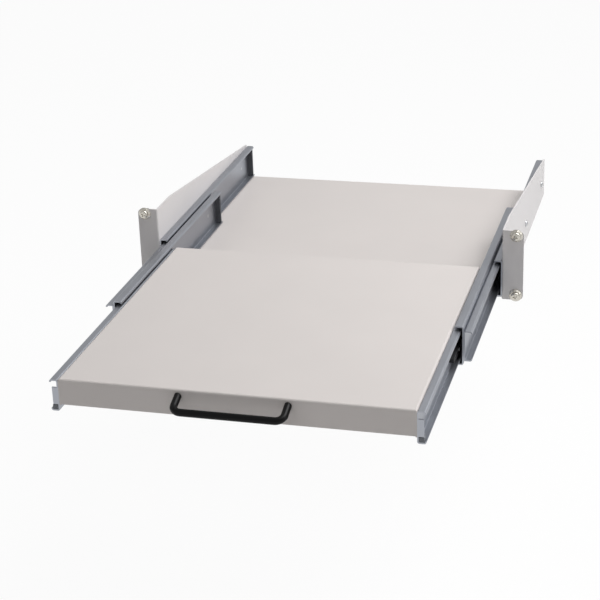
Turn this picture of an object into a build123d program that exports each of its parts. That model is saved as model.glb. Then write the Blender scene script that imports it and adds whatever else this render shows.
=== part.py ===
"""Pull-out keyboard shelf for a 19 inch rack, on two-stage ball bearing slides, shown fully pulled out.

X is the width, +Y runs into the rack and +Z is up. The origin lies in the plane of the flanges' backs,
midway between them, level with the top of the shelf. All lengths are millimetres.
"""

import os

from build123d import *

os.makedirs("parts", exist_ok=True)

# Rack interface, two units high
panel_width = 482.6
panel_height = 88.1
flange_reach = 25.4
rack_hole_side_inset = 8.75
rack_hole_end_inset = 5.95
rack_slot_length = 10.3
rack_slot_height = 7.0

# Shelf of bent sheet
shelf_sheet = 1.5
shelf_front_height = 29.0
shelf_side_height = 30.0
shelf_rear_height = 16.0
shelf_bend = 2.5
pull_out = 400.0

# Slides: each stage is a wide channel that opens towards the shelf and a narrow one that opens away from it
slide_length = 388.0
slide_centre = -19.0
stage_width = 12.7
wide_height = 46.0
narrow_height = 36.0
channel_sheet = 1.5
channel_bend = 1.6
wide_mouth = 2.5
narrow_mouth = 9.5
channel_lip = 3.0
end_tab_width = 5.5
end_tab_height = 19.5
end_tab_centre = -0.5

# Ball cages
ball_diameter = 2.9
ball_hole_play = 0.3
ball_offset = 7.0
balls_in_row = 5
ball_pitch = 30.0
cage_sheet = 0.8
cage_web = 10.4
cage_end_margin = 15.0
cage_flange_end = 4.6
cage_front_margin = 20.0

# Bumpers
bumper_thickness = 4.0
bumper_gap = 0.3
bumper_play = 0.3
bumper_width = 6.9
bumper_corner = 1.0
front_toe_length = 8.0
front_toe_height = 5.9
front_toe_width = 6.2
front_toe_stand = 0.6

# Release levers
lever_length = 46.0
lever_height = 9.0
lever_thickness = 5.0
lever_tip_height = 5.0
lever_behind_pivot = 14.0
lever_drop = 6.0
lever_front = 172.0
lever_play = 0.3
lever_pin_diameter = 3.0
lever_bore_play = 0.05
lever_pin_head = 5.0
lever_pin_head_height = 0.8
lever_corner = 1.5

# Brackets and pan of the fixed frame
bracket_sheet = 2.0
bracket_deep_run = 50.0
bracket_rear_top = 5.5
bracket_lip_width = 20.0
bracket_lip_start = 8.0
bracket_corner = 6.0
pan_sheet = 1.5
pan_gap = 0.3
pan_hem_height = 12.0
pan_side_play = 0.3
pan_hem_play = 1.0

# Bow handle
handle_spacing = 117.0
handle_diameter = 8.0
handle_reach = 22.0
handle_drop = 7.0
handle_bend = 9.0
handle_foot_height = -7.5
handle_screw_bite = 4.5

# Fasteners
rack_screw_diameter = 6.0
rack_screw_head = 10.5
rack_screw_head_height = 3.2
rack_screw_length = 16.0
rack_screw_thread_length = 10.2
rack_screw_neck = 5.0
rack_screw_recess = 5.0
rack_screw_recess_depth = 2.0
rack_screw_recess_sides = 6
cup_washer_diameter = 15.5
cup_washer_height = 3.0
cup_washer_taper = 25.0
small_screw_diameter = 4.0
small_screw_head = 8.0
small_screw_head_height = 2.4
screw_play = 0.1
pan_screws_per_side = 4
pan_screw_inset = 7.0
outer_screws_per_side = 3
inner_screws_per_side = 4
screw_end_margin = 36.0
rivet_diameter = 5.0
rivet_play = 0.05
rivets_per_side = 3

# Stiffeners under the shelf
stiffener_height = 14.0
stiffener_top_width = 30.0
stiffener_flange = 12.0
stiffener_sheet = 1.2
stiffener_inset = 14.0
stiffener_share = 0.28
overrun = 2.0

# Places worked out from the sizes above
rack_hole_across = panel_width - 2 * rack_hole_side_inset
rack_hole_up = panel_height - 2 * rack_hole_end_inset
slide_width = 2 * stage_width
plate_inner = panel_width / 2 - flange_reach
shelf_half = plate_inner - slide_width
shelf_width = 2 * shelf_half
shelf_depth = slide_length
plate_outer = plate_inner + bracket_sheet
shelf_front = -pull_out
shelf_back = shelf_front + shelf_depth
middle_front = -pull_out / 2
wide_inside = wide_height / 2 - channel_sheet
wide_bottom = slide_centre - wide_height / 2
pan_top = wide_bottom - pan_gap
pan_bottom = pan_top - pan_sheet
lip_bottom = pan_bottom - bracket_sheet
race_middle = (wide_inside + narrow_height / 2) / 2
cage_length = (balls_in_row - 1) * ball_pitch + 2 * cage_end_margin
narrow_length = slide_length - bumper_thickness - bumper_gap
lever_pivot_y = shelf_front + lever_front + lever_length - lever_behind_pivot
lever_pivot_z = slide_centre - lever_drop
sides = (("left", -1), ("right", 1))


def finish(part, name):
    """Labels a finished piece and writes its file."""
    part.label = name
    export_step(part, "parts/" + name + ".step")


def spread(count, start, end):
    """Evenly spaced places from start to end."""
    return [start + (end - start) * i / (count - 1) for i in range(count)]


def channel_points(side, web, mouth, height):
    """Middle line of a lipped channel, its back at web and its open side at mouth, counted from the shelf."""
    turn = 1 if mouth > web else -1
    back = side * (shelf_half + web + turn * channel_sheet / 2)
    front = side * (shelf_half + mouth - turn * channel_sheet / 2)
    top = height / 2 - channel_sheet / 2
    lip = height / 2 - channel_lip
    return [
        (front, slide_centre + lip),
        (front, slide_centre + top),
        (back, slide_centre + top),
        (back, slide_centre - top),
        (front, slide_centre - top),
        (front, slide_centre - lip),
    ]


def slide_plane(rear):
    """Section plane across the rack at a depth, from which pieces are drawn out towards the front."""
    return Plane.XZ.offset(-rear)


def across(side, x, y, z):
    """Plane at a point, facing out sideways from the middle of the rack."""
    return Plane(origin=(side * x, y, z), x_dir=(0, side, 0), z_dir=(side, 0, 0))


# Shelf: top, front face, side flanges and rear flange of one sheet
with BuildPart() as shelf:
    with Locations((0, (shelf_front + shelf_back) / 2, 0)):
        Box(
            shelf_width,
            shelf_depth,
            shelf_side_height,
            align=(Align.CENTER, Align.CENTER, Align.MAX),
        )
    fillet(shelf.faces().sort_by(Axis.Z)[-1].edges(), radius=shelf_bend)
    with Locations((0, (shelf_front + shelf_back) / 2, -shelf_sheet)):
        Box(
            shelf_width - 2 * shelf_sheet,
            shelf_depth - 2 * shelf_sheet,
            shelf_side_height,
            align=(Align.CENTER, Align.CENTER, Align.MAX),
            mode=Mode.SUBTRACT,
        )
    ceiling = shelf.faces().filter_by(Axis.Z).sort_by(Axis.Z)[-2]
    fillet(ceiling.edges(), radius=shelf_bend - shelf_sheet)
    for face_y, height in (
        (shelf_front, shelf_front_height),
        (shelf_back - shelf_sheet, shelf_rear_height),
    ):
        with BuildSketch(Plane.XY.offset(-height)):
            with Locations((0, face_y + shelf_sheet / 2)):
                Rectangle(shelf_width - 2 * shelf_sheet, shelf_sheet)
        extrude(amount=-shelf_side_height, mode=Mode.SUBTRACT)
    for side_name, side in sides:
        for y in spread(
            inner_screws_per_side,
            shelf_front + screw_end_margin,
            shelf_back - screw_end_margin,
        ):
            with Locations(across(side, shelf_half, y, slide_centre)):
                Hole(
                    small_screw_diameter / 2 + screw_play,
                    depth=shelf_sheet + overrun,
                )
    for x in (-handle_spacing / 2, handle_spacing / 2):
        with Locations(
            Plane(origin=(x, shelf_front, handle_foot_height), z_dir=(0, -1, 0))
        ):
            Hole(small_screw_diameter / 2 + screw_play, depth=shelf_sheet + overrun)
finish(shelf.part, "shelf")

# Hat section stiffeners under the shelf
for name, middle in (
    ("front_stiffener", shelf_front + shelf_depth * stiffener_share),
    ("rear_stiffener", shelf_back - shelf_depth * stiffener_share),
):
    half_top = stiffener_top_width / 2
    run = shelf_half - shelf_sheet - stiffener_inset
    under = -shelf_sheet - stiffener_sheet / 2
    deep = under - stiffener_height + stiffener_sheet
    with BuildPart() as stiffener:
        with BuildSketch(Plane.YZ.offset(-run)):
            with BuildLine():
                FilletPolyline(
                    (middle - half_top - stiffener_flange, under),
                    (middle - half_top, under),
                    (middle - half_top, deep),
                    (middle + half_top, deep),
                    (middle + half_top, under),
                    (middle + half_top + stiffener_flange, under),
                    radius=stiffener_sheet,
                )
            trace(line_width=stiffener_sheet)
        extrude(amount=2 * run)
    finish(stiffener.part, name)

# Bow handle of bent rod, its legs sloping down to the bar
handle_mid = handle_spacing / 2
handle_leg = (handle_reach**2 + handle_drop**2) ** (1 / 2)
handle_plane = Plane(
    origin=(0, shelf_front, handle_foot_height),
    x_dir=(1, 0, 0),
    z_dir=(0, -handle_drop, handle_reach),
)
with BuildPart() as bow_handle:
    with BuildLine(handle_plane) as bow:
        FilletPolyline(
            (-handle_mid, handle_diameter / 2),
            (-handle_mid, -handle_leg),
            (handle_mid, -handle_leg),
            (handle_mid, handle_diameter / 2),
            radius=handle_bend,
        )
    with BuildSketch(Plane(origin=bow.wire() @ 0, z_dir=bow.wire() % 0)):
        Circle(handle_diameter / 2)
    sweep()
    split(bisect_by=Plane.XZ.offset(-shelf_front), keep=Keep.TOP)
    with Locations(
        Plane(origin=(-handle_mid, shelf_front, handle_foot_height), z_dir=(0, 1, 0)),
        Plane(origin=(handle_mid, shelf_front, handle_foot_height), z_dir=(0, 1, 0)),
    ):
        Hole(small_screw_diameter / 2 + screw_play, depth=handle_screw_bite)
finish(bow_handle.part, "bow_handle")

with BuildPart() as handle_screws:
    for x in (-handle_mid, handle_mid):
        inside = Plane(
            origin=(x, shelf_front + shelf_sheet, handle_foot_height),
            z_dir=(0, 1, 0),
        )
        with BuildSketch(inside):
            Circle(small_screw_head / 2)
        extrude(amount=small_screw_head_height)
        with BuildSketch(inside):
            Circle(small_screw_diameter / 2)
        extrude(amount=-shelf_sheet - handle_screw_bite + screw_play)
finish(handle_screws.part, "handle_screws")

# Channels of both slides, each stage a wide channel round a narrow one
for side_name, side in sides:
    with BuildPart() as outer_member:
        with BuildSketch(slide_plane(slide_length)):
            with BuildLine():
                FilletPolyline(
                    *channel_points(side, slide_width, stage_width + wide_mouth, wide_height),
                    radius=channel_bend,
                )
            trace(line_width=channel_sheet)
        extrude(amount=slide_length)
        for y in spread(outer_screws_per_side, screw_end_margin, slide_length - screw_end_margin):
            with Locations(across(side, plate_inner, y, slide_centre)):
                Hole(small_screw_diameter / 2 + screw_play, depth=channel_sheet)
    finish(outer_member.part, side_name + "_outer_member")

    rivet_places = spread(
        rivets_per_side, middle_front + screw_end_margin, middle_front + slide_length - screw_end_margin
    )
    with BuildPart() as middle_channel:
        with BuildSketch(slide_plane(middle_front + slide_length)):
            with BuildLine():
                FilletPolyline(
                    *channel_points(side, stage_width, wide_mouth, wide_height),
                    radius=channel_bend,
                )
            trace(line_width=channel_sheet)
        extrude(amount=slide_length)
        for y in rivet_places:
            with Locations(across(side, shelf_half + stage_width, y, slide_centre)):
                Hole(rivet_diameter / 2 + rivet_play, depth=channel_sheet)
    finish(middle_channel.part, side_name + "_middle_channel")

    with BuildPart() as middle_rail:
        with BuildSketch(slide_plane(middle_front + narrow_length)):
            with BuildLine():
                FilletPolyline(
                    *channel_points(side, stage_width, stage_width + narrow_mouth, narrow_height),
                    radius=channel_bend,
                )
            trace(line_width=channel_sheet)
        extrude(amount=narrow_length)
        for y in rivet_places:
            with Locations(across(side, shelf_half + stage_width + channel_sheet, y, slide_centre)):
                Hole(rivet_diameter / 2 + rivet_play, depth=channel_sheet)
    finish(middle_rail.part, side_name + "_middle_rail")

    with BuildPart() as middle_rivets:
        for y in rivet_places:
            with BuildSketch(across(side, shelf_half + stage_width - channel_sheet, y, slide_centre)):
                Circle(rivet_diameter / 2)
            extrude(amount=2 * channel_sheet)
    finish(middle_rivets.part, side_name + "_middle_rivets")

    with BuildPart() as inner_member:
        with BuildSketch(slide_plane(shelf_front + narrow_length)):
            with BuildLine():
                FilletPolyline(
                    *channel_points(side, 0, narrow_mouth, narrow_height),
                    radius=channel_bend,
                )
            trace(line_width=channel_sheet)
        extrude(amount=narrow_length)
        for y in spread(
            inner_screws_per_side,
            shelf_front + screw_end_margin,
            shelf_back - screw_end_margin,
        ):
            with Locations(across(side, shelf_half + channel_sheet, y, slide_centre)):
                Hole(small_screw_diameter / 2 + screw_play, depth=channel_sheet)
        with Locations(
            across(side, shelf_half + channel_sheet, lever_pivot_y, lever_pivot_z)
        ):
            Hole(lever_pin_diameter / 2 + screw_play, depth=channel_sheet)
        with BuildSketch(slide_plane(shelf_front + channel_sheet)):
            with Locations(
                (side * (shelf_half + (channel_sheet + end_tab_width) / 2), slide_centre + end_tab_centre)
            ):
                Rectangle(channel_sheet + end_tab_width, end_tab_height)
        extrude(amount=channel_sheet)
    finish(inner_member.part, side_name + "_inner_member")

# Ball cages and their balls, one pair of rows for each stage
for side_name, side in sides:
    for stage_name, stage_start, cage_back in (
        ("rear", stage_width, cage_front_margin + cage_length),
        ("front", 0, shelf_back - cage_front_margin),
    ):
        base = shelf_half + stage_start
        rows = [
            (cage_back - cage_end_margin - i * ball_pitch, slide_centre + up * race_middle)
            for i in range(balls_in_row)
            for up in (-1, 1)
        ]
        with BuildPart() as cage:
            with BuildSketch(slide_plane(cage_back)):
                with BuildLine():
                    FilletPolyline(
                        (side * (base + cage_flange_end), slide_centre + race_middle),
                        (side * (base + cage_web), slide_centre + race_middle),
                        (side * (base + cage_web), slide_centre - race_middle),
                        (side * (base + cage_flange_end), slide_centre - race_middle),
                        radius=cage_sheet,
                    )
                trace(line_width=cage_sheet)
            extrude(amount=cage_length)
            with Locations([(side * (base + ball_offset), y, z) for y, z in rows]):
                Cylinder(ball_diameter / 2 + ball_hole_play, 2 * cage_sheet, mode=Mode.SUBTRACT)
        finish(cage.part, side_name + "_" + stage_name + "_ball_cage")

        with BuildPart() as balls:
            with Locations([(side * (base + ball_offset), y, z) for y, z in rows]):
                Sphere(ball_diameter / 2)
        finish(balls.part, side_name + "_" + stage_name + "_balls")

# Rubber bumpers that the narrow channels meet when the shelf is pushed home
with BuildPart() as outer_bumpers:
    for side_name, side in sides:
        with BuildSketch(slide_plane(slide_length)):
            with Locations((side * (plate_inner - channel_sheet - bumper_width / 2), slide_centre)):
                RectangleRounded(bumper_width, 2 * (wide_inside - bumper_play), bumper_corner)
        extrude(amount=bumper_thickness)
finish(outer_bumpers.part, "outer_bumpers")

for side_name, side in sides:
    with BuildPart() as middle_bumper:
        with BuildSketch(slide_plane(middle_front + slide_length)):
            with Locations(
                (side * (shelf_half + stage_width - channel_sheet - bumper_width / 2), slide_centre)
            ):
                RectangleRounded(bumper_width, 2 * (wide_inside - bumper_play), bumper_corner)
        extrude(amount=bumper_thickness)
    finish(middle_bumper.part, side_name + "_middle_bumper")

# Rubber toes in the lower front ends of the shelf's channels
with BuildPart() as front_toes:
    for side_name, side in sides:
        toe_bottom = slide_centre - narrow_height / 2 + channel_sheet
        with BuildSketch(slide_plane(shelf_front + front_toe_length)):
            with Locations(
                (
                    side * (shelf_half + channel_sheet + front_toe_width / 2),
                    toe_bottom + front_toe_height / 2,
                )
            ):
                RectangleRounded(front_toe_width, front_toe_height, bumper_corner)
        extrude(amount=front_toe_length + front_toe_stand)
finish(front_toes.part, "front_toes")

# Release levers in the shelf's channels, on pins through the channel backs
for side_name, side in sides:
    lever_plane = across(side, shelf_half + channel_sheet + lever_play, lever_pivot_y, lever_pivot_z)
    with BuildPart() as lever:
        with BuildSketch(lever_plane):
            with BuildLine():
                Polyline(
                    (side * lever_behind_pivot, lever_height / 2),
                    (side * -lever_height / 2, lever_height / 2),
                    (side * (lever_behind_pivot - lever_length), lever_tip_height / 2),
                    (side * (lever_behind_pivot - lever_length), -lever_tip_height / 2),
                    (side * -lever_height / 2, -lever_height / 2),
                    (side * lever_behind_pivot, -lever_height / 2),
                    close=True,
                )
            make_face()
            fillet(vertices(), radius=lever_corner)
        extrude(amount=lever_thickness)
        with Locations(
            across(
                side,
                shelf_half + channel_sheet + lever_play + lever_thickness,
                lever_pivot_y,
                lever_pivot_z,
            )
        ):
            Hole(lever_pin_diameter / 2 + lever_bore_play, depth=lever_thickness)
    finish(lever.part, side_name + "_release_lever")

with BuildPart() as lever_pins:
    for side_name, side in sides:
        with BuildSketch(across(side, shelf_half, lever_pivot_y, lever_pivot_z)):
            Circle(lever_pin_diameter / 2)
        extrude(amount=channel_sheet + 2 * lever_play + lever_thickness)
        with BuildSketch(
            across(
                side,
                shelf_half + channel_sheet + 2 * lever_play + lever_thickness,
                lever_pivot_y,
                lever_pivot_z,
            )
        ):
            Circle(lever_pin_head / 2)
        extrude(amount=lever_pin_head_height)
finish(lever_pins.part, "lever_pins")

# Brackets: a tapering side plate, a slotted front flange and an inward lip that carries the pan
for side_name, side in sides:
    flange_top = panel_height / 2
    with BuildPart() as bracket:
        with BuildSketch(Plane.YZ.offset(side * (plate_inner + plate_outer) / 2)):
            with BuildLine():
                Polyline(
                    (-bracket_sheet, flange_top),
                    (bracket_deep_run, flange_top),
                    (slide_length, bracket_rear_top),
                    (slide_length, lip_bottom),
                    (bracket_lip_start, lip_bottom),
                    (bracket_lip_start, -flange_top),
                    (-bracket_sheet, -flange_top),
                    close=True,
                )
            make_face()
        extrude(amount=bracket_sheet / 2, both=True)
        with BuildSketch(slide_plane(0)):
            with Locations((side * (plate_inner + panel_width / 2) / 2, 0)):
                Rectangle(panel_width / 2 - plate_inner, panel_height)
            with Locations(
                (side * rack_hole_across / 2, rack_hole_up / 2),
                (side * rack_hole_across / 2, -rack_hole_up / 2),
            ):
                SlotOverall(rack_slot_length, rack_slot_height, mode=Mode.SUBTRACT)
        extrude(amount=bracket_sheet)
        with BuildSketch(slide_plane(slide_length)):
            with Locations((side * (plate_outer - bracket_lip_width / 2), lip_bottom + bracket_sheet / 2)):
                Rectangle(bracket_lip_width, bracket_sheet)
        extrude(amount=slide_length - bracket_lip_start)
        corner = bracket.edges().filter_by(Axis.Z).filter_by(
            lambda e: abs(abs(e.center().X) - plate_inner) < bracket_sheet / 2
            and abs(e.center().Y + bracket_sheet) < bracket_sheet / 2
        )
        fillet(corner, radius=bracket_sheet)
        ears = bracket.edges().filter_by(Axis.Y).filter_by(
            lambda e: abs(abs(e.center().X) - panel_width / 2) < bracket_sheet / 2
        )
        fillet(ears, radius=bracket_corner)
        for y in spread(outer_screws_per_side, screw_end_margin, slide_length - screw_end_margin):
            with Locations(across(side, plate_outer, y, slide_centre)):
                Hole(small_screw_diameter / 2 + screw_play, depth=bracket_sheet)
        for y in spread(pan_screws_per_side, screw_end_margin, slide_length - screw_end_margin):
            with Locations(
                Plane(
                    origin=(side * (plate_inner - pan_screw_inset), y, pan_bottom),
                    z_dir=(0, 0, 1),
                )
            ):
                Hole(small_screw_diameter / 2 + screw_play, depth=bracket_sheet)
    finish(bracket.part, side_name + "_bracket")

# Pan between the brackets, with a hem folded down at the front and the rear
pan_half = plate_inner - pan_side_play
hem_half = plate_outer - bracket_lip_width - pan_hem_play
with BuildPart() as chassis_pan:
    with BuildSketch(Plane.XY.offset(pan_bottom)):
        with Locations((0, (bracket_lip_start + slide_length) / 2)):
            Rectangle(2 * pan_half, slide_length - bracket_lip_start)
    extrude(amount=pan_sheet)
    with BuildSketch(Plane.XY.offset(pan_bottom)):
        with Locations(
            (0, bracket_lip_start + pan_sheet / 2),
            (0, slide_length - pan_sheet / 2),
        ):
            Rectangle(2 * hem_half, pan_sheet)
    extrude(amount=-pan_hem_height)
    for side_name, side in sides:
        for y in spread(pan_screws_per_side, screw_end_margin, slide_length - screw_end_margin):
            with Locations(
                Plane(origin=(side * (plate_inner - pan_screw_inset), y, pan_top), z_dir=(0, 0, 1))
            ):
                Hole(small_screw_diameter / 2 + screw_play, depth=pan_sheet)
finish(chassis_pan.part, "chassis_pan")

with BuildPart() as pan_screws:
    for side_name, side in sides:
        for y in spread(pan_screws_per_side, screw_end_margin, slide_length - screw_end_margin):
            under = Plane(
                origin=(side * (plate_inner - pan_screw_inset), y, lip_bottom),
                z_dir=(0, 0, -1),
            )
            with BuildSketch(under):
                Circle(small_screw_head / 2)
            extrude(amount=small_screw_head_height)
            with BuildSketch(under):
                Circle(small_screw_diameter / 2)
            extrude(amount=-(bracket_sheet + pan_sheet))
finish(pan_screws.part, "pan_screws")

with BuildPart() as outer_member_screws:
    for side_name, side in sides:
        for y in spread(outer_screws_per_side, screw_end_margin, slide_length - screw_end_margin):
            outside = across(side, plate_outer, y, slide_centre)
            with BuildSketch(outside):
                Circle(small_screw_head / 2)
            extrude(amount=small_screw_head_height)
            with BuildSketch(outside):
                Circle(small_screw_diameter / 2)
            extrude(amount=-(bracket_sheet + channel_sheet))
finish(outer_member_screws.part, "outer_member_screws")

with BuildPart() as inner_member_screws:
    for side_name, side in sides:
        for y in spread(
            inner_screws_per_side,
            shelf_front + screw_end_margin,
            shelf_back - screw_end_margin,
        ):
            inside = across(side, shelf_half - shelf_sheet, y, slide_centre)
            with BuildSketch(inside):
                Circle(small_screw_head / 2)
            extrude(amount=-small_screw_head_height)
            with BuildSketch(inside):
                Circle(small_screw_diameter / 2)
            extrude(amount=shelf_sheet + channel_sheet)
finish(inner_member_screws.part, "inner_member_screws")

# Rack screws with cup washers, in the flange slots, threaded only behind the flange
with BuildPart() as rack_screws:
    for side_name, side in sides:
        for up in (-1, 1):
            face = Plane(
                origin=(
                    side * rack_hole_across / 2,
                    -bracket_sheet - cup_washer_height,
                    up * rack_hole_up / 2,
                ),
                z_dir=(0, -1, 0),
            )
            with BuildSketch(face):
                Circle(rack_screw_head / 2)
            extrude(amount=rack_screw_head_height)
            with BuildSketch(face):
                Circle(rack_screw_neck / 2)
            extrude(amount=-rack_screw_length)
            with BuildSketch(face.offset(-rack_screw_length)):
                Circle(rack_screw_diameter / 2)
            extrude(amount=rack_screw_thread_length)
            with BuildSketch(face.offset(rack_screw_head_height)):
                RegularPolygon(rack_screw_recess / 2, rack_screw_recess_sides)
            extrude(amount=-rack_screw_recess_depth, mode=Mode.SUBTRACT)
finish(rack_screws.part, "rack_screws")

with BuildPart() as cup_washers:
    for side_name, side in sides:
        for up in (-1, 1):
            face = Plane(
                origin=(side * rack_hole_across / 2, -bracket_sheet, up * rack_hole_up / 2),
                z_dir=(0, -1, 0),
            )
            with BuildSketch(face):
                Circle(cup_washer_diameter / 2)
            extrude(amount=cup_washer_height, taper=cup_washer_taper)
            with Locations(face.offset(cup_washer_height)):
                Hole(rack_screw_diameter / 2 + screw_play, depth=cup_washer_height)
finish(cup_washers.part, "cup_washers")
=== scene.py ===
import math

import bmesh
import bpy
from bpy.props import FloatProperty, FloatVectorProperty, IntProperty, PointerProperty
from mathutils import Matrix, Vector


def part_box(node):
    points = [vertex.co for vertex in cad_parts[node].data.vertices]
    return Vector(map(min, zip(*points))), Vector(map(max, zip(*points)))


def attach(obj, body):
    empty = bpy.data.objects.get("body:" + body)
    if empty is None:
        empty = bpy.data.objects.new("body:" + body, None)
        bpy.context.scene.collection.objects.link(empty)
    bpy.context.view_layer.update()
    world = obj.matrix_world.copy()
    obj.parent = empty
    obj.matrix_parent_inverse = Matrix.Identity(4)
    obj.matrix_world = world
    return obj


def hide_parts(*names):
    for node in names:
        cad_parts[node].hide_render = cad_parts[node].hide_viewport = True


bl_info = {
    "name": "Rack keyboard shelf",
    "version": (1, 0, 0),
    "blender": (4, 5, 0),
    "location": "View3D > Sidebar > Rack shelf",
    "description": "Dresses a pull-out keyboard shelf with its coats, plating, screws, handle and levers",
    "category": "Object",
}

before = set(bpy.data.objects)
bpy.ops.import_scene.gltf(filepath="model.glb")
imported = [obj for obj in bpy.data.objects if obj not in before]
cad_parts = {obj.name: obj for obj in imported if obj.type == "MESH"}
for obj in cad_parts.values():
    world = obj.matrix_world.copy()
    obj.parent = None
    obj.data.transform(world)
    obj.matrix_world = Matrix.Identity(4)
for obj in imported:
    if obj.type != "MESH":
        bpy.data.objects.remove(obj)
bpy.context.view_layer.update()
MM = 0.001
SIDES = (("left", -1), ("right", 1))
FULL_TURN = 2 * math.pi
QUARTER_TURN = math.pi / 2
Y_AXIS = 1

# Corners closer than these are one corner, and faces that meet at less than the angle are shaded as one curve
SPIN_MERGE = 0.001 * MM
PIECE_MERGE = 0.002 * MM
SMOOTH_ANGLE = math.radians(35)

# Steps round a small turned shape
SMALL_SEGMENTS = 24

# A pan head's outline from its crown to its seat, as shares of half its width and of its height
PAN_HEAD = ((0, 1), (0.42, 0.985), (0.66, 0.93), (0.84, 0.8), (0.95, 0.58), (1, 0.3), (0.98, 0))

# The cross recess: a slot's width as a share of its length, and its middle as a share of the head's height
SLOT_SHARE = 0.24
RECESS_MIDDLE = 0.95

# The rack screw's thread: its depth, its plain tip and the rise of its section's corners, all in pitches
THREAD_DEPTH = 0.6
THREAD_TIP = 0.4
THREAD_RISES = (0.0, 0.42, 0.54, 0.96)

# How many turns the thread has, and how many steps there are in a turn
THREAD_TURNS = 9
THREAD_STEPS = 20

# Share of the core's radius at which the thread begins, so that it grows out of the core
THREAD_ROOT = 0.98

# The bodies that carry the small screws
SCREW_BODIES = {
    "pan_screws": "frame",
    "outer_member_screws": "frame",
    "inner_member_screws": "shelf_carriage",
    "handle_screws": "shelf_carriage",
}

# The camera as fitted to the photograph: degrees, metres, and millimetres of film and lens
CAMERA_YAW = 15.51
CAMERA_PITCH = 22.84
CAMERA_ROLL = -2.05
CAMERA_PLACE = (0.481, -1.863, 0.749)
CAMERA_FILM = 36
CAMERA_LENS = 101.1
CAMERA_SIGHT = 200

# The stage, in metres: what the lamps face, and how far the floor runs from its middle
LAMP_TARGET = (0, -0.15, -0.02)
FLOOR_REACH = 40
WHITE = (1, 1, 1, 1)
PAPER = (0.85, 0.85, 0.85, 1)

# Share of its own white that the paper floor shows to the camera and in reflections
PAPER_GLOW = 0.95


def colour_from_hex(text):
    """Turns an sRGB hex colour into linear red, green and blue."""
    shares = [int(text[i:i + 2], 16) / 255 for i in (1, 3, 5)]
    return tuple(s / 12.92 if s <= 0.04045 else ((s + 0.055) / 1.055) ** 2.4 for s in shares)


def length(name, description, default):
    """A length that a user can change, given in millimetres."""
    return FloatProperty(name=name, description=description, default=default * MM, unit="LENGTH", precision=5)


def tint(name, description, default):
    """A colour that a user can change, given as sRGB hex."""
    return FloatVectorProperty(
        name=name, description=description, default=colour_from_hex(default), subtype="COLOR", min=0, max=1
    )


# Sizes and colours that a user may change


class RackShelfCoats(bpy.types.PropertyGroup):
    """Colours of the painted, plated and moulded surfaces."""

    shelf_coat: tint("Shelf coat", "Powder coat of the shelf and the pan", "#D8D2CF")
    bracket_coat: tint("Bracket coat", "Powder coat of the side brackets", "#DAD7D7")
    slide_plate: tint("Slide plating", "Blue zinc plating of the slide channels", "#A9ACB3")
    cage_plate: tint("Cage plating", "Zinc plating of the ball cages", "#9FA4AC")
    handle_coat: tint("Handle coat", "Black coat of the bow handle", "#0A0A0B")
    lever_plastic: tint("Lever plastic", "Moulded plastic of the release levers", "#1B1B1D")
    bumper_rubber: tint("Bumper rubber", "Dark grey rubber of the bumpers", "#46484C")
    toe_rubber: tint("Toe rubber", "Mid grey rubber of the toes at the front ends", "#74777D")
    screw_plate: tint("Screw plating", "Bright zinc of the small screws and rivets", "#C2C4C6")
    rack_screw_plate: tint("Rack screw plating", "Nickel of the rack screws and cup washers", "#CFCBC2")


class RackShelfHardware(bpy.types.PropertyGroup):
    """Sizes of the screws and washers."""

    hole_across: length("Hole columns", "Distance between the left and right flange's holes", 465.1)
    hole_up: length("Hole rows", "Distance between a flange's upper and lower holes", 76.2)
    flange_front: length("Flange front", "Front of the flanges, ahead of their backs", 2.0)
    rack_head: length("Rack screw head", "Diameter of a rack screw's head", 10.5)
    rack_head_height: length("Rack screw head height", "Height of a rack screw's head", 3.2)
    rack_shank: length("Rack screw thread", "Outer diameter of a rack screw's thread", 6.0)
    rack_length: length("Rack screw length", "Length of a rack screw under its head", 16.0)
    thread_pitch: length("Thread pitch", "Distance between turns of the rack screw's thread", 1.0)
    washer_width: length("Cup washer", "Diameter of a cup washer", 15.5)
    washer_height: length("Cup washer height", "Height of a cup washer", 3.0)
    washer_sheet: length("Cup washer sheet", "Sheet that a cup washer is pressed from", 0.7)
    washer_play: length("Cup washer play", "Play of a cup washer's bore round the thread", 0.1)
    head: length("Small screw head", "Diameter of a small screw's head", 8.0)
    head_height: length("Small screw head height", "Height of a small screw's head", 2.4)
    shank: length("Small screw shank", "Diameter of a small screw's shank", 4.0)
    outer_depth: length("Outer screw length", "Length of an outer member's screw under its head", 3.5)
    inner_depth: length("Inner screw length", "Length of an inner member's screw under its head", 3.0)
    recess_share: FloatProperty(
        name="Recess", description="Width of the cross recess as a share of the head", default=0.5, min=0.2, max=0.7
    )
    segments: IntProperty(name="Segments", description="Steps round a screw head", default=32, min=12, max=64)


class RackShelfHandle(bpy.types.PropertyGroup):
    """Sizes of the bow handle."""

    spacing: length("Feet", "Distance between the handle's feet", 117.0)
    rod: length("Rod", "Diameter of the handle's rod", 8.0)
    reach: length("Reach", "How far the bar stands in front of the shelf", 22.0)
    drop: length("Drop", "How far the bar hangs below its feet", 7.0)
    bend: length("Bend", "Radius of the rod's bends at its middle", 9.0)
    foot_height: length("Foot height", "Height of the feet from the top of the shelf", -7.5)
    shelf_front: length("Shelf front", "Front face of the shelf when it is pulled out", -400.0)
    segments: IntProperty(name="Segments", description="Steps round the rod", default=32, min=12, max=64)
    bend_steps: IntProperty(name="Bend steps", description="Steps along each bend", default=12, min=4, max=32)


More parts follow.
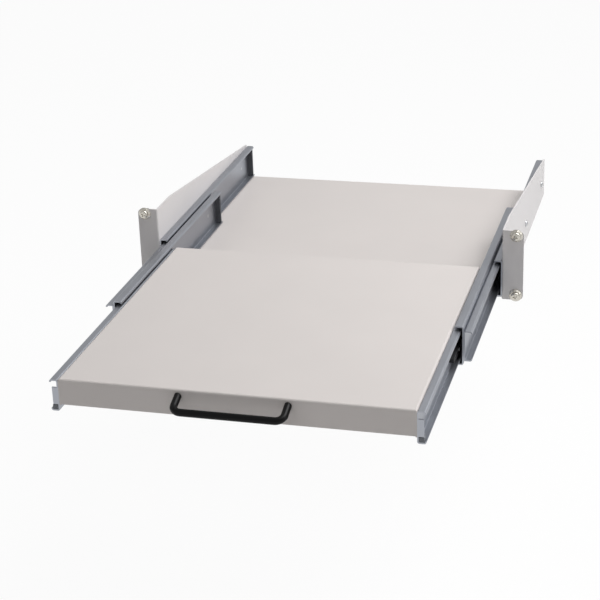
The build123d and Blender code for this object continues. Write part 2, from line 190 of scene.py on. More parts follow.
class RackShelfLever(bpy.types.PropertyGroup):
    """Sizes of the release levers."""

    pivot_y: length("Pivot depth", "Place of the lever's pin along the slide", -196.0)
    pivot_z: length("Pivot height", "Height of the lever's pin", -25.0)
    height: length("Height", "Height of the lever at its pin", 9.0)
    tip_height: length("Tip height", "Height of the lever at its tip", 5.0)
    behind: length("Behind the pin", "Length of the lever behind its pin", 14.0)
    ahead: length("Ahead of the pin", "Length of the lever ahead of its pin", 32.0)
    rim: length("Rim", "Width of the raised rim", 1.0)
    sink: length("Sink", "Depth of the pocket inside the rim", 0.8)
    bore: length("Bore", "Diameter of the hole for the pin", 3.1)
    corner: length("Corners", "Radius of the lever's corners", 1.4)
    rib_start: length("First rib", "Distance from the tip to the first grip rib", 4.0)
    rib_pitch: length("Rib pitch", "Distance between grip ribs", 2.0)
    rib_width: length("Rib width", "Width of a grip rib", 0.9)
    rib_edge: length("Rib edge", "Bevel along a grip rib's edges", 0.15)
    ribs: IntProperty(name="Ribs", description="Number of grip ribs", default=5, min=0, max=12)


class RackShelfToes(bpy.types.PropertyGroup):
    """Sizes of the rubber toes."""

    width: length("Width", "Width of a toe across the slide", 6.2)
    corner: length("Corners", "Radius of a toe's long edges", 1.0)
    nose: length("Nose", "Radius round a toe's front face", 0.9)


class RackShelfStage(bpy.types.PropertyGroup):
    """Light, floor and camera."""

    floor_height: length("Floor", "Height of the floor from the top of the shelf", -330.0)
    key_power: FloatProperty(name="Key light", description="Power of the large lamp above", default=41.5, unit="POWER")
    fill_power: FloatProperty(name="Fill light", description="Power of the lamp at the front", default=2, unit="POWER")
    edge_power: FloatProperty(name="Edge light", description="Power of the lamp at the right", default=4, unit="POWER")
    gloss_share: FloatProperty(
        name="Sky in reflections",
        description="Share of a white sky that glossy surfaces reflect",
        default=0.4,
        min=0,
        max=1,
    )
    sky_level: FloatProperty(name="Sky level", description="Light from all round", default=0.26, min=0, max=1)


# Helpers for materials


def add_node(tree, kind, settings=(), **inputs):
    """Adds one node: its settings, and values or links for its sockets.

    A socket goes by its name, with _ for a space, or as n and its number where names repeat.
    """
    node = tree.nodes.new(kind)
    for key, value in dict(settings).items():
        setattr(node, key, value)
    for key, value in inputs.items():
        numbered = key[0] == "n" and key[1:].isdigit()
        socket = node.inputs[int(key[1:]) if numbered else key.replace("_", " ")]
        if isinstance(value, bpy.types.NodeSocket):
            tree.links.new(value, socket)
        else:
            socket.default_value = value
    return node


def new_material(name):
    """An empty material with its Principled shader, and its Object coordinates."""
    material = bpy.data.materials.new(name)
    material.use_nodes = True
    tree = material.node_tree
    tree.nodes.clear()
    shader = add_node(tree, "ShaderNodeBsdfPrincipled")
    add_node(tree, "ShaderNodeOutputMaterial", Surface=shader.outputs["BSDF"])
    place = add_node(tree, "ShaderNodeTexCoord").outputs["Object"]
    return material, tree, shader, place


def varied_colour(tree, shader, factor, colour, low, high):
    """Lets a pattern move a colour between two levels of brightness."""
    ramp = add_node(tree, "ShaderNodeMapRange", n3=low, n4=high, Value=factor)
    mixed = add_node(
        tree, "ShaderNodeVectorMath", {"operation": "SCALE"}, n0=tuple(colour), Scale=ramp.outputs["Result"]
    )
    tree.links.new(mixed.outputs["Vector"], shader.inputs["Base Color"])


def spread_value(tree, socket, factor, low, high):
    """Lets a pattern move a shader's number between two values."""
    ramp = add_node(tree, "ShaderNodeMapRange", n3=low, n4=high, Value=factor)
    tree.links.new(ramp.outputs["Result"], socket)


def surface_bump(tree, shader, height, strength, depth):
    """Turns a pattern into a fine relief, its depth in millimetres."""
    bump = add_node(tree, "ShaderNodeBump", Strength=strength, Distance=depth * MM, Height=height)
    tree.links.new(bump.outputs["Normal"], shader.inputs["Normal"])


def powder_coated_steel(name, colour):
    """Fine powder coat on sheet steel: satin, with the low orange peel that the baked coat leaves."""
    peel_width, speck_width, cloud_width = 1.8 * MM, 0.9 * MM, 95 * MM
    material, tree, shader, place = new_material(name)
    peel = add_node(tree, "ShaderNodeTexNoise", Vector=place, Scale=1 / peel_width, Detail=2.0, Roughness=0.55)
    speck = add_node(tree, "ShaderNodeTexNoise", Vector=place, Scale=1 / speck_width, Detail=4.0, Roughness=0.7)
    cloud = add_node(tree, "ShaderNodeTexNoise", Vector=place, Scale=1 / cloud_width, Detail=3.0, Roughness=0.5)
    both = add_node(
        tree, "ShaderNodeMix", {"data_type": "FLOAT"}, n0=0.45, n2=cloud.outputs["Fac"], n3=speck.outputs["Fac"]
    )
    varied_colour(tree, shader, both.outputs[0], colour, low=0.95, high=1.05)
    spread_value(tree, shader.inputs["Roughness"], cloud.outputs["Fac"], low=0.44, high=0.56)
    surface_bump(tree, shader, peel.outputs["Fac"], strength=0.12, depth=0.25)
    shader.inputs["Specular IOR Level"].default_value = 0.45
    return material


def plated_strip(name, colour, rough, streak, drawn):
    """Zinc plated strip: rolled lines along the drawn axis, a streak wide in mm, under thin bright plating."""
    line_length, cloud_width = 60, 30 * MM
    material, tree, shader, place = new_material(name)
    stretch = tuple(1 / (MM * (line_length if axis == drawn else streak)) for axis in range(3))
    turned = add_node(tree, "ShaderNodeMapping", Vector=place, Scale=stretch)
    lines = add_node(tree, "ShaderNodeTexNoise", Vector=turned.outputs["Vector"], Scale=1.0, Detail=5.0, Roughness=0.6)
    cloud = add_node(tree, "ShaderNodeTexNoise", Vector=place, Scale=1 / cloud_width, Detail=3.0, Roughness=0.6)
    blend = add_node(
        tree, "ShaderNodeMix", {"data_type": "FLOAT"}, n0=0.5, n2=lines.outputs["Fac"], n3=cloud.outputs["Fac"]
    )
    varied_colour(tree, shader, blend.outputs[0], colour, low=0.84, high=1.12)
    spread_value(tree, shader.inputs["Roughness"], blend.outputs[0], low=rough - 0.1, high=rough + 0.12)
    surface_bump(tree, shader, lines.outputs["Fac"], strength=0.15, depth=0.06)
    shader.inputs["Metallic"].default_value = 1.0
    return material


def turned_metal(name, colour, rough):
    """Plated small turned part: bright, with faint grain and handling marks."""
    grain_width, mark_width = 0.5 * MM, 4 * MM
    material, tree, shader, place = new_material(name)
    grain = add_node(tree, "ShaderNodeTexNoise", Vector=place, Scale=1 / grain_width, Detail=3.0, Roughness=0.6)
    marks = add_node(tree, "ShaderNodeTexNoise", Vector=place, Scale=1 / mark_width, Detail=4.0, Roughness=0.6)
    varied_colour(tree, shader, marks.outputs["Fac"], colour, low=0.86, high=1.1)
    spread_value(tree, shader.inputs["Roughness"], marks.outputs["Fac"], low=rough - 0.06, high=rough + 0.14)
    surface_bump(tree, shader, grain.outputs["Fac"], strength=0.08, depth=0.05)
    shader.inputs["Metallic"].default_value = 1.0
    return material


def black_baked_coat(name, colour):
    """Stoved black coat on steel rod: deep black with a faint highlight, and rubbed patches where hands hold it."""
    peel_width, rub_width = 1.4 * MM, 24 * MM
    material, tree, shader, place = new_material(name)
    peel = add_node(tree, "ShaderNodeTexNoise", Vector=place, Scale=1 / peel_width, Detail=2.0, Roughness=0.5)
    rub = add_node(tree, "ShaderNodeTexNoise", Vector=place, Scale=1 / rub_width, Detail=4.0, Roughness=0.6)
    varied_colour(tree, shader, rub.outputs["Fac"], colour, low=0.8, high=1.35)
    spread_value(tree, shader.inputs["Roughness"], rub.outputs["Fac"], low=0.26, high=0.42)
    surface_bump(tree, shader, peel.outputs["Fac"], strength=0.1, depth=0.12)
    shader.inputs["Specular IOR Level"].default_value = 0.12
    shader.inputs["Coat Weight"].default_value = 0.04
    shader.inputs["Coat Roughness"].default_value = 0.12
    return material


def moulded_surface(name, colour, rough, grit):
    """Moulded plastic or rubber: dull, with the tool's fine spark texture, its grit in millimetres."""
    dust_width = 9 * MM
    material, tree, shader, place = new_material(name)
    spark = add_node(tree, "ShaderNodeTexVoronoi", Vector=place, Scale=1 / (grit * MM))
    dust = add_node(tree, "ShaderNodeTexNoise", Vector=place, Scale=1 / dust_width, Detail=4.0, Roughness=0.65)
    varied_colour(tree, shader, dust.outputs["Fac"], colour, low=0.75, high=1.45)
    spread_value(tree, shader.inputs["Roughness"], dust.outputs["Fac"], low=rough - 0.08, high=rough + 0.1)
    surface_bump(tree, shader, spark.outputs["Distance"], strength=0.25, depth=0.08)
    return material


def dress(nodes, material):
    """Gives CAD nodes their material."""
    for name in nodes:
        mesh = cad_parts[name].data
        mesh.materials.clear()
        mesh.materials.append(material)


# Helpers for shapes


def spin_profile(points, segments):
    """A closed turned shape: a line of (radius, height) points spun once round Z."""
    shape = bmesh.new()
    verts = [shape.verts.new((radius, 0, height)) for radius, height in points]
    edges = [shape.edges.new(pair) for pair in zip(verts, verts[1:])]
    bmesh.ops.spin(
        shape, geom=verts + edges, cent=(0, 0, 0), axis=(0, 0, 1), angle=FULL_TURN, steps=segments, use_merge=True
    )
    bmesh.ops.remove_doubles(shape, verts=shape.verts, dist=SPIN_MERGE)
    bmesh.ops.recalc_face_normals(shape, faces=shape.faces)
    return shape


def block(size, centre):
    """A plain block, the start of a cutter, a toe or a rib."""
    shape = bmesh.new()
    bmesh.ops.create_cube(shape, size=1, matrix=Matrix.Translation(centre) @ Matrix.Diagonal((*size, 1)))
    return shape


def as_object(shape, name):
    """Puts a bmesh into the scene as an object at the origin."""
    mesh = bpy.data.meshes.new(name)
    shape.to_mesh(mesh)
    shape.free()
    holder = bpy.data.objects.new(name, mesh)
    bpy.context.scene.collection.objects.link(holder)
    return holder


def carve(solid, cutter):
    """Cuts one closed shape out of another and returns what is left."""
    holders = [as_object(solid, "uncut"), as_object(cutter, "cutter")]
    cut = holders[0].modifiers.new("cut", "BOOLEAN")
    cut.operation = "DIFFERENCE"
    cut.solver = "EXACT"
    cut.object = holders[1]
    bpy.context.view_layer.update()
    cut_mesh = bpy.data.meshes.new_from_object(holders[0].evaluated_get(bpy.context.evaluated_depsgraph_get()))
    left = bmesh.new()
    left.from_mesh(cut_mesh)
    for holder in holders:
        bpy.data.objects.remove(holder)
    return left


def join(shape, other):
    """Adds one bmesh to another and frees the one that was added."""
    mesh = bpy.data.meshes.new("joined")
    other.to_mesh(mesh)
    other.free()
    shape.from_mesh(mesh)
    bpy.data.meshes.remove(mesh)


def copies(shape, places):
    """One bmesh with a copy of the shape at each place."""
    mesh = bpy.data.meshes.new("copied")
    shape.to_mesh(mesh)
    shape.free()
    group = bmesh.new()
    for place in places:
        before = len(group.verts)
        group.from_mesh(mesh)
        group.verts.ensure_lookup_table()
        bmesh.ops.transform(group, matrix=place, verts=group.verts[before:])
    return group


def finish_piece(shape, name, material, body, nodes):
    """Makes the object, shades it, gives it its finish, ties it to its body and hides the nodes that it stands for."""
    bmesh.ops.remove_doubles(shape, verts=shape.verts, dist=PIECE_MERGE)
    bmesh.ops.recalc_face_normals(shape, faces=shape.faces)
    for face in shape.faces:
        face.smooth = True
    for edge in shape.edges:
        if len(edge.link_faces) == 2:
            edge.smooth = edge.calc_face_angle(0) < SMOOTH_ANGLE
    piece = as_object(shape, name)
    piece.data.materials.append(material)
    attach(piece, body)
    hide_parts(*nodes)


def spread(count, start, end):
    """Evenly spaced places from start to end."""
    return [start + (end - start) * i / (count - 1) for i in range(count)]


def cross_headed(width, height, shank, depth, recess, segments):
    """A pan head screw along Z, its head's seat at the origin, with a cross recess."""
    head = [(across * width / 2, up * height) for across, up in PAN_HEAD]
    screw = spin_profile(head + [(shank / 2, 0), (shank / 2, -depth), (0, -depth)], segments)
    slot = SLOT_SHARE * recess
    for size in ((recess, slot, height), (slot, recess, height)):
        screw = carve(screw, block(size, (0, 0, RECESS_MIDDLE * height)))
    return screw


def stopped(places, first, step):
    """Turns each screw to an angle of its own, in radians, as screws driven by hand end up."""
    return [place @ Matrix.Rotation(first + step * i, 4, "Z") for i, place in enumerate(places)]


def screw_seats(name, sizes):
    """The length under the head of a group's screws, and each one's place, from the box of their solids."""
    low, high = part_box(name)
    middle = (low + high) / 2
    edge, height = sizes.head / 2, sizes.head_height
    if name == "handle_screws":
        facing = Matrix.Rotation(-QUARTER_TURN, 4, "X")
        seats = [(x, high.y - height, middle.z) for x in (low.x + edge, high.x - edge)]
        return high.y - low.y - height, [Matrix.Translation(seat) @ facing for seat in seats]
    if name == "pan_screws":
        facing = Matrix.Rotation(2 * QUARTER_TURN, 4, "X")
        rows = spread(4, low.y + edge, high.y - edge)
        seats = [(side * (high.x - edge), y, low.z + height) for _, side in SIDES for y in rows]
        return high.z - low.z - height, [Matrix.Translation(seat) @ facing for seat in seats]
    if name == "outer_member_screws":
        count, depth, inset, turn = 3, sizes.outer_depth, height, QUARTER_TURN
    else:
        count, depth, inset, turn = 4, sizes.inner_depth, sizes.inner_depth, -QUARTER_TURN
    rows = spread(count, low.y + edge, high.y - edge)
    return depth, [
        Matrix.Translation((side * (high.x - inset), y, middle.z)) @ Matrix.Rotation(side * turn, 4, "Y")
        for _, side in SIDES
        for y in rows
    ]


# An operator for each kind of piece, and one for the stage


class RACKSHELF_OT_sheet_metal(bpy.types.Operator):
    """Coats the shelf, the pan, the stiffeners and the side brackets"""

    bl_idname = "rackshelf.sheet_metal"
    bl_label = "Coat the sheet metal"

    def execute(self, context):
        coats = context.scene.rack_shelf_coats
        shelf = powder_coated_steel("powder coated steel, warm light grey", coats.shelf_coat)
        dress(("shelf", "chassis_pan", "front_stiffener", "rear_stiffener"), shelf)
        bracket = powder_coated_steel("powder coated steel, pale grey", coats.bracket_coat)
        dress(("left_bracket", "right_bracket"), bracket)
        return {"FINISHED"}


class RACKSHELF_OT_slides(bpy.types.Operator):
    """Finishes the slide channels, the ball cages, the balls, the rivets and the lever pins"""

    bl_idname = "rackshelf.slides"
    bl_label = "Finish the slides"

    def execute(self, context):
        coats = context.scene.rack_shelf_coats
        channel = plated_strip(
            "zinc plated cold rolled strip, blue bright", coats.slide_plate, rough=0.4, streak=0.9, drawn=Y_AXIS
        )
        cage = plated_strip("zinc plated cage strip", coats.cage_plate, rough=0.42, streak=0.6, drawn=Y_AXIS)
        ball = turned_metal("hardened steel ball, polished", coats.screw_plate, rough=0.12)
        rivet = turned_metal("zinc plated rivet steel", coats.screw_plate, rough=0.3)
        for material, pieces in (
            (channel, ("outer_member", "middle_channel", "middle_rail", "inner_member")),
            (cage, ("rear_ball_cage", "front_ball_cage")),
            (ball, ("rear_balls", "front_balls")),
            (rivet, ("middle_rivets",)),
        ):
            dress([name + "_" + piece for name, _ in SIDES for piece in pieces], material)
        dress(["lever_pins"], rivet)
        return {"FINISHED"}


class RACKSHELF_OT_rubber(bpy.types.Operator):
    """Gives the bumpers their rubber and moulds the toes"""

    bl_idname = "rackshelf.rubber"
    bl_label = "Rubber bumpers and toes"

    def execute(self, context):
        coats = context.scene.rack_shelf_coats
        rubber = moulded_surface("moulded nitrile rubber, dark grey", coats.bumper_rubber, rough=0.75, grit=0.5)
        toe_rubber = moulded_surface("moulded nitrile rubber, mid grey", coats.toe_rubber, rough=0.75, grit=0.5)
        dress(("left_middle_bumper", "right_middle_bumper", "outer_bumpers"), rubber)
        sizes = context.scene.rack_shelf_toes
        low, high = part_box("front_toes")
        span = high - low
        toe = block((sizes.width, span.y, span.z), (0, 0, 0))
        long_edges = [e for e in toe.edges if abs(e.verts[0].co.y - e.verts[1].co.y) > span.y / 2]
        bmesh.ops.bevel(toe, geom=long_edges, offset=sizes.corner, segments=5, profile=0.5, affect="EDGES", material=-1)
        front = min(toe.faces, key=lambda face: face.calc_center_median().y)
        bmesh.ops.bevel(
            toe, geom=front.edges[:], offset=sizes.nose, segments=4, profile=0.5, affect="EDGES", material=-1
        )
        middle = (low + high) / 2
        places = [Matrix.Translation((side * (high.x - sizes.width / 2), middle.y, middle.z)) for _, side in SIDES]
        finish_piece(
            copies(toe, places), "moulded_front_toes", toe_rubber, "shelf_carriage", ["front_toes"]
        )
        return {"FINISHED"}


class RACKSHELF_OT_bow_handle(bpy.types.Operator):
    """Bends the bow handle from one rod"""

    bl_idname = "rackshelf.bow_handle"
    bl_label = "Bow handle"

    def execute(self, context):
        sizes = context.scene.rack_shelf_handle
        half = sizes.spacing / 2
        leg = math.hypot(sizes.reach, sizes.drop)
        across, along = sizes.drop / leg, sizes.reach / leg
        shape = bmesh.new()
        ring = bmesh.ops.create_circle(
            shape,
            segments=sizes.segments,
            radius=sizes.rod / 2,
            matrix=Matrix.Translation((-half, sizes.rod / 2, 0)) @ Matrix.Rotation(QUARTER_TURN, 4, "X"),
        )["verts"]
        loop = list({edge for vert in ring for edge in vert.link_edges})

        def run(edges, move):
            grown = bmesh.ops.extrude_edge_only(shape, edges=edges)["geom"]
            bmesh.ops.translate(shape, verts=[g for g in grown if isinstance(g, bmesh.types.BMVert)], vec=move)
            return [g for g in grown if isinstance(g, bmesh.types.BMEdge)]

        def turn(edges, centre):
            spun = bmesh.ops.spin(
                shape, geom=edges, cent=centre, axis=(0, 0, 1), angle=QUARTER_TURN, steps=sizes.bend_steps
            )
            return [g for g in spun["geom_last"] if isinstance(g, bmesh.types.BMEdge)]

        straight = leg - sizes.bend + sizes.rod / 2
        loop = run(loop, (0, -straight, 0))
        loop = turn(loop, (-half + sizes.bend, -leg + sizes.bend, 0))
        loop = run(loop, (sizes.spacing - 2 * sizes.bend, 0, 0))
        loop = turn(loop, (half - sizes.bend, -leg + sizes.bend, 0))
        run(loop, (0, straight, 0))
        tilt = Matrix(
            ((1, 0, 0, 0), (0, along, -across, sizes.shelf_front), (0, across, along, sizes.foot_height), (0, 0, 0, 1))
        )
        bmesh.ops.transform(shape, matrix=tilt, verts=shape.verts)
        bmesh.ops.bisect_plane(
            shape,
            geom=shape.verts[:] + shape.edges[:] + shape.faces[:],
            plane_co=(0, sizes.shelf_front, 0),
            plane_no=(0, 1, 0),
            clear_outer=True,
        )
        bmesh.ops.holes_fill(shape, edges=[edge for edge in shape.edges if edge.is_boundary], sides=0)
        coat = black_baked_coat("stoved black coat on steel rod", context.scene.rack_shelf_coats.handle_coat)
        finish_piece(shape, "bent_bow_handle", coat, "shelf_carriage", ["bow_handle"])
        return {"FINISHED"}


class RACKSHELF_OT_rack_screws(bpy.types.Operator):
    """Turns the rack screws with their threads and presses the cup washers"""

    bl_idname = "rackshelf.rack_screws"
    bl_label = "Rack screws and cup washers"

    def execute(self, context):
        sizes = context.scene.rack_shelf_hardware
        nickel = turned_metal("nickel plated steel", context.scene.rack_shelf_coats.rack_screw_plate, rough=0.22)
        face = -sizes.flange_front - sizes.washer_height
        facing = Matrix.Rotation(QUARTER_TURN, 4, "X")
        corners = [(side * sizes.hole_across / 2, up * sizes.hole_up / 2) for _, side in SIDES for up in (-1, 1)]
        pitch = sizes.thread_pitch
        core = sizes.rack_shank - 2 * THREAD_DEPTH * pitch
        screw = cross_headed(
            sizes.rack_head,
            sizes.rack_head_height,
            core,
            sizes.rack_length,
            sizes.recess_share * sizes.rack_head,
            sizes.segments,
        )
        start = -sizes.rack_length + THREAD_TIP * pitch
        root, crest = THREAD_ROOT * core / 2, sizes.rack_shank / 2
        rows = [
            screw.verts.new((radius, 0, start + rise * pitch))
            for radius, rise in zip((root, crest, crest, root), THREAD_RISES)
        ]
        ridge = [screw.edges.new(pair) for pair in zip(rows, rows[1:] + rows[:1])]
        bmesh.ops.holes_fill(screw, edges=ridge, sides=4)
        spun = bmesh.ops.spin(
            screw,
            geom=ridge,
            cent=(0, 0, 0),
            axis=(0, 0, 1),
            dvec=(0, 0, pitch / THREAD_STEPS),
            angle=FULL_TURN * THREAD_TURNS,
            steps=THREAD_STEPS * THREAD_TURNS,
        )
        bmesh.ops.holes_fill(screw, edges=[g for g in spun["geom_last"] if isinstance(g, bmesh.types.BMEdge)], sides=4)
        places = stopped([Matrix.Translation((x, face, z)) @ facing for x, z in corners], first=0.4, step=0.7)
        finish_piece(
            copies(screw, places), "threaded_rack_screws", nickel, "frame", ["rack_screws"]
        )

        half, sheet, tall = sizes.washer_width / 2, sizes.washer_sheet, sizes.washer_height
        bore, seat = sizes.rack_shank / 2 + sizes.washer_play, sizes.rack_head / 2
        section = [
            (bore, tall - sheet),
            (seat + 0.1 * sheet, tall - sheet),
            (half - 1.4 * sheet, 0),
            (half - 0.3 * sheet, 0),
            (half, 0.3 * sheet),
            (half, 0.9 * sheet),
            (half - 0.5 * sheet, 1.3 * sheet),
            (seat + 1.3 * sheet, tall - 0.3 * sheet),
            (seat + 0.9 * sheet, tall),
            (bore, tall),
        ]
        washer = spin_profile(section + section[:1], sizes.segments)
        places = [Matrix.Translation((x, -sizes.flange_front, z)) @ facing for x, z in corners]
        finish_piece(
            copies(washer, places), "pressed_cup_washers", nickel, "frame", ["cup_washers"]
        )
        return {"FINISHED"}


class RACKSHELF_OT_small_screws(bpy.types.Operator):
    """Sets the small cross headed screws of the pan, the slides and the handle"""

    bl_idname = "rackshelf.small_screws"
    bl_label = "Small screws"

    def execute(self, context):
        sizes = context.scene.rack_shelf_hardware
        zinc = turned_metal("bright zinc plated screw steel", context.scene.rack_shelf_coats.screw_plate, rough=0.28)
        recess = sizes.recess_share * sizes.head
        for name, body in SCREW_BODIES.items():
            depth, places = screw_seats(name, sizes)
            screw = cross_headed(sizes.head, sizes.head_height, sizes.shank, depth, recess, SMALL_SEGMENTS)
            places = stopped(places, first=0.3, step=0.9)
            finish_piece(copies(screw, places), "cross_headed_" + name, zinc, body, [name])
        return {"FINISHED"}


class RACKSHELF_OT_release_levers(bpy.types.Operator):
    """Moulds the release levers with their rims, pockets, bosses, ribs and bores"""

    bl_idname = "rackshelf.release_levers"
    bl_label = "Release levers"

    def execute(self, context):
        sizes = context.scene.rack_shelf_lever
        plastic = moulded_surface(
            "moulded acetal, black", context.scene.rack_shelf_coats.lever_plastic, rough=0.45, grit=0.35
        )
        half, half_tip = sizes.height / 2, sizes.tip_height / 2
        outline = (
            (sizes.behind, half),
            (-half, half),
            (-sizes.ahead, half_tip),
            (-sizes.ahead, -half_tip),
            (-half, -half),
            (sizes.behind, -half),
        )
        # The boss and the ribs start a little below the pocket's floor, so that they grow out of it
        bore = sizes.bore / 2
        boss_foot, boss_crown = 1.8 * bore, 1.7 * bore
        boss_height, boss_sunk = 1.1 * sizes.sink, 1.15 * sizes.sink
        boss_section = [
            (bore, 0),
            (boss_foot, 0),
            (boss_foot, sizes.sink),
            (boss_crown, boss_height),
            (bore, boss_height),
        ]
        wall_slope = 0.3 * sizes.rim
        rib_size = (1.1 * sizes.sink, sizes.rib_width, 0.62 * sizes.tip_height)
        for name, side in SIDES:
            node = name + "_release_lever"
            low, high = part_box(node)
            thick = high.x - low.x
            start = low.x if side > 0 else high.x
            shape = bmesh.new()
            base = shape.faces.new(
                [shape.verts.new((start, sizes.pivot_y + y, sizes.pivot_z + z)) for y, z in outline]
            )
            top = bmesh.ops.extrude_face_region(shape, geom=[base])["geom"]
            bmesh.ops.translate(
                shape, verts=[g for g in top if isinstance(g, bmesh.types.BMVert)], vec=(side * thick, 0, 0)
            )
            upright = [edge for edge in shape.edges if abs(edge.verts[0].co.x - edge.verts[1].co.x) > thick / 2]
            bmesh.ops.bevel(
                shape,
                geom=upright,
                offset=sizes.corner,
                offset_type="OFFSET",
                segments=5,
                profile=0.5,
                affect="EDGES",
                material=-1,
            )
            bmesh.ops.recalc_face_normals(shape, faces=shape.faces)
            outward = [face for face in shape.faces if face.calc_center_median().x * side > abs(start) + thick / 2]
            face = max(outward, key=lambda side_face: side_face.calc_area())
            bmesh.ops.inset_region(shape, faces=[face], thickness=sizes.rim, depth=0)
            bmesh.ops.inset_region(shape, faces=[face], thickness=wall_slope, depth=-sizes.sink)

            drill = spin_profile([(0, -thick), (bore, -thick), (bore, thick), (0, thick)], SMALL_SEGMENTS)
            middle = Matrix.Translation((start + side * thick / 2, sizes.pivot_y, sizes.pivot_z))
            shape = carve(shape, copies(drill, [middle @ Matrix.Rotation(QUARTER_TURN, 4, "Y")]))

            boss = spin_profile(boss_section + boss_section[:1], SMALL_SEGMENTS)
            seat = Matrix.Translation((start + side * (thick - boss_sunk), sizes.pivot_y, sizes.pivot_z))
            bmesh.ops.transform(boss, matrix=seat @ Matrix.Rotation(side * QUARTER_TURN, 4, "Y"), verts=boss.verts)
            join(shape, boss)

            for i in range(sizes.ribs):
                along = sizes.pivot_y - sizes.ahead + sizes.rib_start + i * sizes.rib_pitch
                rib = block(rib_size, (start + side * (thick - sizes.sink / 2), along, sizes.pivot_z))
                bmesh.ops.bevel(
                    rib, geom=rib.edges[:], offset=sizes.rib_edge, segments=2, profile=0.5, affect="EDGES", material=-1
                )
                join(shape, rib)
            finish_piece(shape, "moulded_" + node, plastic, name + "_lever", [node])
        return {"FINISHED"}


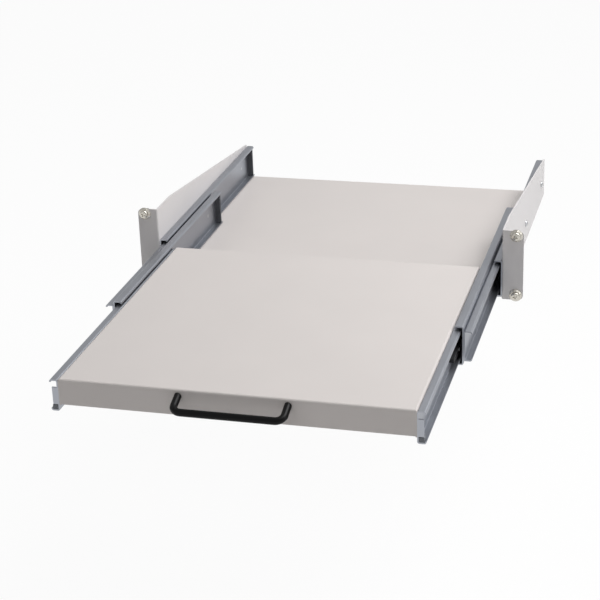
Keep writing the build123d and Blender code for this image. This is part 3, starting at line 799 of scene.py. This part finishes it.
class RACKSHELF_OT_stage(bpy.types.Operator):
    """Lays the floor and sets the lamps and the camera"""

    bl_idname = "rackshelf.stage"
    bl_label = "Floor, light and camera"

    def execute(self, context):
        scene = context.scene
        sizes = scene.rack_shelf_stage
        shape = bmesh.new()
        floor_place = Matrix.Translation((0, 0, sizes.floor_height))
        bmesh.ops.create_grid(shape, x_segments=1, y_segments=1, size=FLOOR_REACH, matrix=floor_place)
        floor = as_object(shape, "floor")
        paper = bpy.data.materials.new("white paper floor")
        paper.use_nodes = True
        tree = paper.node_tree
        tree.nodes.clear()
        dull = add_node(tree, "ShaderNodeBsdfDiffuse", Color=PAPER)
        glow = add_node(tree, "ShaderNodeEmission", Color=WHITE, Strength=1.0)
        rays = add_node(tree, "ShaderNodeLightPath")
        seen = add_node(
            tree,
            "ShaderNodeMath",
            {"operation": "MAXIMUM"},
            n0=rays.outputs["Is Camera Ray"],
            n1=rays.outputs["Is Glossy Ray"],
        )
        share = add_node(tree, "ShaderNodeMath", {"operation": "MULTIPLY"}, n0=seen.outputs[0], n1=PAPER_GLOW)
        mixed = add_node(
            tree, "ShaderNodeMixShader", n0=share.outputs[0], n1=dull.outputs["BSDF"], n2=glow.outputs["Emission"]
        )
        add_node(tree, "ShaderNodeOutputMaterial", Surface=mixed.outputs["Shader"])
        floor.data.materials.append(paper)

        world = bpy.data.worlds.new("studio")
        scene.world = world
        world.use_nodes = True
        tree = world.node_tree
        tree.nodes.clear()
        rays = add_node(tree, "ShaderNodeLightPath")
        seen = add_node(
            tree,
            "ShaderNodeMath",
            {"operation": "MAXIMUM"},
            n0=rays.outputs["Is Camera Ray"],
            n1=rays.outputs["Is Transmission Ray"],
        )
        gloss = add_node(
            tree, "ShaderNodeMath", {"operation": "MULTIPLY"}, n0=rays.outputs["Is Glossy Ray"], n1=sizes.gloss_share
        )
        share = add_node(tree, "ShaderNodeMath", {"operation": "MAXIMUM"}, n0=seen.outputs[0], n1=gloss.outputs[0])
        level = add_node(tree, "ShaderNodeMapRange", Value=share.outputs[0], n3=sizes.sky_level, n4=1.0)
        sky = add_node(tree, "ShaderNodeBackground", Color=WHITE, Strength=level.outputs["Result"])
        add_node(tree, "ShaderNodeOutputWorld", Surface=sky.outputs["Background"])

        target = Vector(LAMP_TARGET)
        for name, place, width, power in (
            ("key_lamp", Vector((1.0, 0.3, 1.8)), 1.5, sizes.key_power),
            ("fill_lamp", Vector((-1.1, -1.9, 0.9)), 1.2, sizes.fill_power),
            ("edge_lamp", Vector((1.9, -0.2, 0.75)), 0.8, sizes.edge_power),
        ):
            lamp = bpy.data.lights.new(name, "AREA")
            lamp.shape = "SQUARE"
            lamp.size = width
            lamp.energy = power
            holder = bpy.data.objects.new(name, lamp)
            scene.collection.objects.link(holder)
            holder.location = place
            holder.rotation_euler = (target - place).to_track_quat("-Z", "Y").to_euler()

        yaw, pitch, roll = (math.radians(angle) for angle in (CAMERA_YAW, CAMERA_PITCH, CAMERA_ROLL))
        ahead = Vector((-math.sin(yaw) * math.cos(pitch), math.cos(yaw) * math.cos(pitch), -math.sin(pitch)))
        right = Vector((math.cos(yaw), math.sin(yaw), 0))
        up = right.cross(ahead)
        right, up = (
            right * math.cos(roll) + up * math.sin(roll),
            up * math.cos(roll) - right * math.sin(roll),
        )
        camera = bpy.data.cameras.new("camera")
        camera.sensor_width = CAMERA_FILM
        camera.lens = CAMERA_LENS
        camera.clip_end = CAMERA_SIGHT
        holder = bpy.data.objects.new("camera", camera)
        scene.collection.objects.link(holder)
        turn = Matrix((right, up, -ahead)).transposed().to_4x4()
        holder.matrix_world = Matrix.Translation(CAMERA_PLACE) @ turn
        scene.camera = holder
        scene.view_settings.view_transform = "Standard"
        return {"FINISHED"}


OPERATORS = (
    RACKSHELF_OT_sheet_metal,
    RACKSHELF_OT_slides,
    RACKSHELF_OT_rubber,
    RACKSHELF_OT_bow_handle,
    RACKSHELF_OT_rack_screws,
    RACKSHELF_OT_small_screws,
    RACKSHELF_OT_release_levers,
    RACKSHELF_OT_stage,
)
GROUPS = {
    "rack_shelf_coats": RackShelfCoats,
    "rack_shelf_hardware": RackShelfHardware,
    "rack_shelf_handle": RackShelfHandle,
    "rack_shelf_lever": RackShelfLever,
    "rack_shelf_toes": RackShelfToes,
    "rack_shelf_stage": RackShelfStage,
}


class RACKSHELF_PT_panel(bpy.types.Panel):
    """Holds a button for each operator"""

    bl_idname = "RACKSHELF_PT_panel"
    bl_label = "Rack keyboard shelf"
    bl_space_type = "VIEW_3D"
    bl_region_type = "UI"
    bl_category = "Rack shelf"

    def draw(self, context):
        for operator in OPERATORS:
            self.layout.operator(operator.bl_idname)


def register():
    """Registers the sizes, the operators and the panel."""
    for name, group in GROUPS.items():
        bpy.utils.register_class(group)
        setattr(bpy.types.Scene, name, PointerProperty(type=group))
    for operator in OPERATORS:
        bpy.utils.register_class(operator)
    bpy.utils.register_class(RACKSHELF_PT_panel)


def unregister():
    """Takes the panel, the operators and the sizes away again."""
    bpy.utils.unregister_class(RACKSHELF_PT_panel)
    for operator in reversed(OPERATORS):
        bpy.utils.unregister_class(operator)
    for name, group in GROUPS.items():
        delattr(bpy.types.Scene, name)
        bpy.utils.unregister_class(group)


def main():
    """Makes every piece in order."""
    register()
    bpy.ops.rackshelf.sheet_metal()
    bpy.ops.rackshelf.slides()
    bpy.ops.rackshelf.rubber()
    bpy.ops.rackshelf.bow_handle()
    bpy.ops.rackshelf.rack_screws()
    bpy.ops.rackshelf.small_screws()
    bpy.ops.rackshelf.release_levers()
    bpy.ops.rackshelf.stage()


if __name__ == "__main__":
    main()
